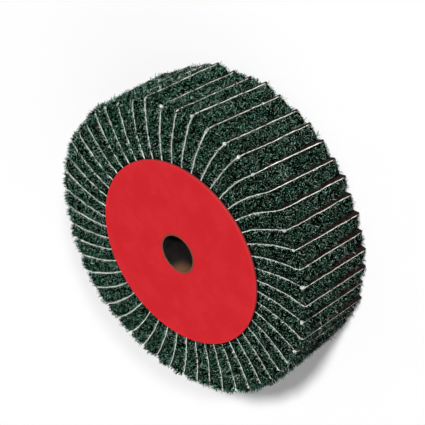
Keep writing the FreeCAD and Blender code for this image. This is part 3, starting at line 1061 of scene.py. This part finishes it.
@dataclass
class WebFlaps:
    """The wedges of non-woven web between the cloth flaps, puffed, torn at the surface and full of loose fibres.

    Attributes:
        pack: The lines of the cloth flaps.
        rack: The fibre shapes.
        runs: Steps along a flap.
        sides: Steps across its thickness.
        heights: Steps across its tip.
        loops: How many looped fibres a flap has.
        strays: How many stray fibres it has.
        spikes: How many spiky fibres it has.
        rim_spikes: How many more spiky fibres stand at its front corner.
        short_front: How far it ends before the grit beside it at the front edge.
        short_rear: The same at the rear edge.
        inset: How far it stays behind the cloth at the front and the rear.
        rear_corner: The radius of its rear corner.
        puff: How far it swells between the cloth flaps.
        bumps: The sizes of the coarse, fine and jagged roughness, each with its share.
        pull: How far its side behind the cotton draws back.
        rim: The part of the surface that counts as the front corner, from the tip and from the front.
        knee: The level below which what would reach under the table is pressed together.
        seed: The seed of the first flap's chance.
    """

    pack: FlapPack
    rack: FibreRack
    runs: int = 50
    sides: int = 11
    heights: int = 68
    loops: int = 170
    strays: int = 200
    spikes: int = 60
    rim_spikes: int = 70
    short_front: float = 0.7 * MM
    short_rear: float = 2.9 * MM
    inset: float = 0.35 * MM
    rear_corner: float = 1.0 * MM
    puff: float = 1.0 * MM
    bumps: tuple[tuple[float, float], ...] = ((3.6 * MM, 0.5), (1.25 * MM, 0.6), (0.55 * MM, 0.45))
    pull: float = 0.22 * MM
    rim: tuple[float, float] = (1.5 * MM, 4.5 * MM)
    knee: float = 0.8 * MM
    seed: int = 77

    def build(self, materials: list[bpy.types.Material]) -> None:
        """Makes all the web flaps.

        Args:
            materials: The web, then the dark, the middle and the pale fibre material.
        """
        template = block(self.runs, self.sides, self.heights)
        for number in range(len(self.pack.lines)):
            work = template.copy()
            near, far = self.pack.pair(number)
            chance = random.Random(self.seed + number)
            spots, rim = self.form(work, near, far, float(number))
            self.dress_surface(work, spots, rim, chance)
            piece = finish_piece(f"web_flap_{number + 1:02d}", work, materials)
            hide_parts("web_flaps")
            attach(piece, "root")
        template.free()

    def form(self, work: BMesh, near: FlapLine, far: FlapLine, seed: float) -> tuple[list[Spot], list[Spot]]:
        """Bends the unit block into the gap between two cloth flaps and gives it its rough surface.

        Args:
            work: The unit block, which is changed.
            near: The line of the cloth flap on the clockwise side.
            far: The line of the cloth flap on the anticlockwise side.
            seed: Moves the roughness of this flap.

        Returns:
            Spots on the open surface, more of them towards the tip, and the spots at the front corner.
        """
        sizes = near.sizes
        root = sizes.hub_radius + sizes.glue - sizes.bend_start
        side = sizes.cloth / 2 + sizes.glue
        low = sizes.flap_bottom + self.inset
        high = sizes.flap_top - self.inset
        spots = []
        rim = []
        for vert in work.verts:
            along, across, tall = vert.co
            front = tall > MIDDLE
            facing = 1.0 if front else -1.0
            height = mix(low, high, tall)
            depth = 1.0 - tall
            short = mix(self.short_front, self.short_rear, depth)
            tip = mix(near.tip(height) - short, far.tip(height), across)
            run = mix(root, tip, stepped(along, self.runs))
            corner = mix(near.corner, far.corner, across) + 0.4 * MM if front else self.rear_corner
            to_edge = high - height if front else height - low
            to_tip, to_edge, tip_part, edge_part = round_corner(tip - run, to_edge, corner)
            run = tip - to_tip
            height = high - to_edge if front else low + to_edge
            shown = along > LAST_ROW or tall > LAST_ROW or tall < FIRST_ROW
            free = smooth(2.0 * MM, 8.0 * MM, run)
            if shown:
                swell = math.sin(math.pi * min(1.0, max(0.0, across))) ** 0.45
                place = Vector((run, height, mix(0.0, 8.0 * MM, across) + seed * 30.0 * MM))
                rise = self.puff * swell * free * (1.0 - 0.5 * depth)
                rise += self.roughness(place) * MM * (0.3 + 0.7 * swell) * smooth(-1.0 * MM, 6.0 * MM, run)
                run += rise * tip_part
                height += rise * edge_part * facing
            pulled = self.pull * free if across > LAST_ROW else 0.0
            start = near.point(run, side, height)
            end = far.point(run, -side - pulled, height)
            vert.co = start.lerp(end, across)
            if shown and run > sizes.shown_from:
                out = (far.point(run + 1.0 * MM, -side, height) - end) / MM * tip_part
                out += Vector((0.0, 0.0, facing)) * edge_part
                if tall < FIRST_ROW:
                    out += Vector((vert.co.x, vert.co.y, 0.0)).normalized() * 1.5
                spot = (vert.co.copy(), out.normalized())
                spots.extend([spot] * (4 if to_tip < 2.5 * MM else 1))
                if to_tip < self.rim[0] and height > high - self.rim[1]:
                    rim.append(spot)
        return spots, rim

    def roughness(self, place: Vector) -> float:
        """How rough the torn surface is at a place, as a sum of coarse, fine and jagged bumps."""
        apart = (Vector((0.0, 0.0, 0.0)), Vector((9.0, 2.0, 5.0)), Vector((3.0, 8.0, 1.0)))
        total = 0.0
        for (size, share), shift in zip(self.bumps, apart):
            total += share * noise.noise(place / size + shift)
        return total

    def dress_surface(self, work: BMesh, spots: list[Spot], rim: list[Spot], chance: random.Random) -> None:
        """Lays looped, stray and spiky fibres over the open surface, and keeps them off the table."""
        for kind, where, count in (
            (FibreKind.LOOP, spots, self.loops), (FibreKind.STRAY, spots, self.strays),
            (FibreKind.SPIKE, spots, self.spikes), (FibreKind.SPIKE, rim, self.rim_spikes),
        ):
            for _ in range(count):
                spot, out = chance.choice(where)
                lean = Vector((chance.uniform(-0.4, 0.4), chance.uniform(-0.4, 0.4), chance.uniform(-0.4, 0.4)))
                slot = chance.choices((1, 2, 3), weights=(9, 5, 2))[0]
                self.rack.lay(work, kind, spot, (out + lean).normalized(), slot, chance)
        for vert in work.verts:
            if vert.co.z < self.knee:
                vert.co.z = self.knee * math.exp((vert.co.z - self.knee) / self.knee)


def finish_piece(name: str, work: BMesh, materials: list[bpy.types.Material]) -> bpy.types.Object:
    """Turns a finished mesh into an object of the scene.

    Args:
        name: The piece's name.
        work: The mesh, which is freed.
        materials: Its material slots, in order.

    Returns:
        The new object.
    """
    mesh = bpy.data.meshes.new(name)
    work.to_mesh(mesh)
    work.free()
    for material in materials:
        mesh.materials.append(material)
    piece = bpy.data.objects.new(name, mesh)
    bpy.context.scene.collection.objects.link(piece)
    LOG.info("%s: %d faces", name, len(mesh.polygons))
    return piece


@dataclass
class Mounting:
    """The pieces that are kept as packed: both flanges, the card tube and the cast hub."""

    sizes: WheelSizes

    def dress(self) -> None:
        """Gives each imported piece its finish."""
        board = BoardFinish(name="red_board", rough=0.75, shine=0.1, radius=self.sizes.flange_radius).build()
        card = CardFinish(name="wound_card", rough=0.8, top=self.sizes.height).build()
        resin = ResinFinish(name="cast_resin", rough=0.4, shine=0.5).build()
        for node, material in (
            ("rear_flange", board), ("front_flange", board), ("core_tube", card), ("resin_hub", resin),
        ):
            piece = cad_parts[node]
            piece.data.materials.clear()
            piece.data.materials.append(material)
            LOG.info("%s: dressed", node)


class Fill(Enum):
    """How much each source of light gives, as the level at which a white surface facing it is white."""

    KEY = 1.06
    SIDE = 0.32
    LOW = 0.12
    SKY = 0.08


@dataclass(frozen=True)
class Lamp:
    """One soft lamp, far away: the direction that it shines from, its level and its width in degrees."""

    name: str
    azimuth: float
    elevation: float
    level: Fill
    spread: float

    def build(self) -> None:
        """Adds the lamp to the scene."""
        light = bpy.data.lights.new(self.name, "SUN")
        light.energy = self.level.value * math.pi
        light.angle = math.radians(self.spread)
        lamp = bpy.data.objects.new(self.name, light)
        bpy.context.scene.collection.objects.link(lamp)
        azimuth = math.radians(self.azimuth)
        elevation = math.radians(self.elevation)
        across = math.cos(elevation)
        towards = Vector((across * math.cos(azimuth), across * math.sin(azimuth), math.sin(elevation)))
        lamp.rotation_euler = towards.to_track_quat("Z", "Y").to_euler()
        lamp.location = towards


@dataclass
class Studio:
    """The white floor, the soft lights and the camera.

    Attributes:
        sizes: The sizes of the wheel.
        floor_radius: The radius of the floor, in metres.
        floor_shade: How much light the floor gives back.
        floor_glow: How much light the floor adds for the camera alone, which takes the last grey off it.
        lamps: The key light, a lower side light that widens the shadow and a broad weak light from the left.
        focal: The camera's focal length, in pixels of the photograph.
        frame_pixels: The width of the photograph, in pixels.
        scale: The unit that centre is given in.
        centre: Where the middle of the front face lies, seen by the camera.
        first: How a step to the photograph's right runs on the wheel.
        second: How a step up in the photograph runs on the wheel.
        turn: The angle about the wheel's axis from the wheel seen so to the part.
    """

    sizes: WheelSizes
    floor_radius: float = 3.0
    floor_shade: float = 0.95
    floor_glow: float = 0.05
    lamps: tuple[Lamp, ...] = (
        Lamp("key_light", 36.0, 42.0, Fill.KEY, 7.0),
        Lamp("side_light", 20.0, 29.0, Fill.SIDE, 5.0),
        Lamp("low_light", -48.0, 26.0, Fill.LOW, 90.0),
    )
    focal: float = 1416.0
    frame_pixels: float = 425.0
    scale: float = 75.0 * MM
    centre: tuple[float, float, float] = (-0.2103, -0.2538, -8.8824)
    first: tuple[float, float, float] = (0.6898, 0.0, 0.7240)
    second: tuple[float, float, float] = (-0.2986, 0.9110, 0.2845)
    turn: float = math.radians(6.8)

    def build(self) -> None:
        """Builds the floor, the lights, the world and the camera."""
        self.floor()
        for lamp in self.lamps:
            lamp.build()
        self.world()
        self.camera()
        LOG.info("studio: floor, lights and camera")

    def floor(self) -> None:
        """A white floor that stays white to the camera and still takes the wheel's shadow."""
        work = bmesh.new()
        bmesh.ops.create_circle(work, cap_ends=True, radius=self.floor_radius, segments=64)
        mesh = bpy.data.meshes.new("floor")
        work.to_mesh(mesh)
        work.free()
        floor = bpy.data.objects.new("floor", mesh)
        bpy.context.scene.collection.objects.link(floor)
        material = bpy.data.materials.new("white_floor")
        material.use_nodes = True
        kit = NodeKit(material.node_tree)
        shader = material.node_tree.nodes["Principled BSDF"]
        kit.feed(shader, "Base Color", (self.floor_shade, self.floor_shade, self.floor_shade, 1.0))
        kit.feed(shader, "Roughness", 0.9)
        kit.feed(shader, "Specular IOR Level", 0.0)
        rays = kit.add("ShaderNodeLightPath")
        seen = kit.maths("MAXIMUM", rays.outputs["Is Camera Ray"], rays.outputs["Is Glossy Ray"])
        kit.feed(shader, "Emission Color", (1.0, 1.0, 1.0, 1.0))
        kit.feed(shader, "Emission Strength", kit.maths("MULTIPLY", seen, self.floor_glow))
        mesh.materials.append(material)

    def world(self) -> None:
        """White to the camera, a softer grey as a light."""
        world = bpy.data.worlds.new("studio_world")
        bpy.context.scene.world = world
        world.use_nodes = True
        kit = NodeKit(world.node_tree)
        back = world.node_tree.nodes["Background"]
        rays = kit.add("ShaderNodeLightPath")
        seen = kit.maths("MAXIMUM", rays.outputs["Is Camera Ray"], rays.outputs["Is Transmission Ray"])
        kit.feed(back, "Color", (1.0, 1.0, 1.0, 1.0))
        kit.feed(back, "Strength", kit.ramp(seen, 0.0, 1.0, Fill.SKY.value, 1.0))

    def camera(self) -> None:
        """The camera at the photograph's viewing angle."""
        first = Vector(self.first)
        second = Vector(self.second)
        axis_x = (math.cos(self.turn) * first + math.sin(self.turn) * second).normalized()
        axis_y = (math.cos(self.turn) * second - math.sin(self.turn) * first).normalized()
        axis_z = axis_x.cross(axis_y).normalized()
        axis_y = axis_z.cross(axis_x)
        to_part = Matrix((axis_x, axis_y, axis_z))
        spot = to_part @ (-Vector(self.centre)) * self.scale + Vector((0.0, 0.0, self.sizes.flap_top))
        data = bpy.data.cameras.new("camera")
        data.lens = self.focal / self.frame_pixels * data.sensor_width
        data.clip_start = 0.01
        data.clip_end = 20.0
        camera = bpy.data.objects.new("camera", data)
        bpy.context.scene.collection.objects.link(camera)
        camera.matrix_world = Matrix.Translation(spot) @ to_part.to_4x4()
        bpy.context.scene.camera = camera


def main() -> None:
    """Builds and dresses the wheel, piece by piece, and sets up the studio."""
    logging.basicConfig(level=logging.INFO, format="%(name)s: %(message)s")
    bpy.context.scene.view_settings.view_transform = "Standard"
    sizes = WheelSizes.from_frame()
    EffectLibrary().build()
    Mounting(sizes).dress()
    rack = FibreRack()
    rack.build()
    pack = FlapPack(sizes)
    pack.lay_out()
    cotton = CottonFinish(name="cotton_backing", rough=0.9, shine=0.15).build()
    grit = GritFinish(name="brown_grit", rough=0.6, shine=0.12).build()
    thread = FibreFinish(
        name="cotton_thread", rough=0.85, shine=0.2, colour=(246, 247, 240), other=(206, 214, 206), dusty_and_shaded=False).build()
    ClothFlaps(pack, rack).build([cotton, grit, thread])
    web = WebFinish(name="nonwoven_web", rough=0.95, shine=0.0).build()
    dark = FibreFinish(name="dark_fibre", rough=0.85, shine=0.0, colour=(5, 14, 11), other=(1, 4, 3)).build()
    green = FibreFinish(name="green_fibre", rough=0.8, shine=0.05, colour=(84, 136, 114), other=(18, 48, 38)).build()
    pale = FibreFinish(name="pale_fibre", rough=0.75, shine=0.1, colour=(186, 206, 194), other=(104, 142, 126)).build()
    WebFlaps(pack, rack).build([web, dark, green, pale])
    Studio(sizes).build()


if __name__ == "__main__":
    main()
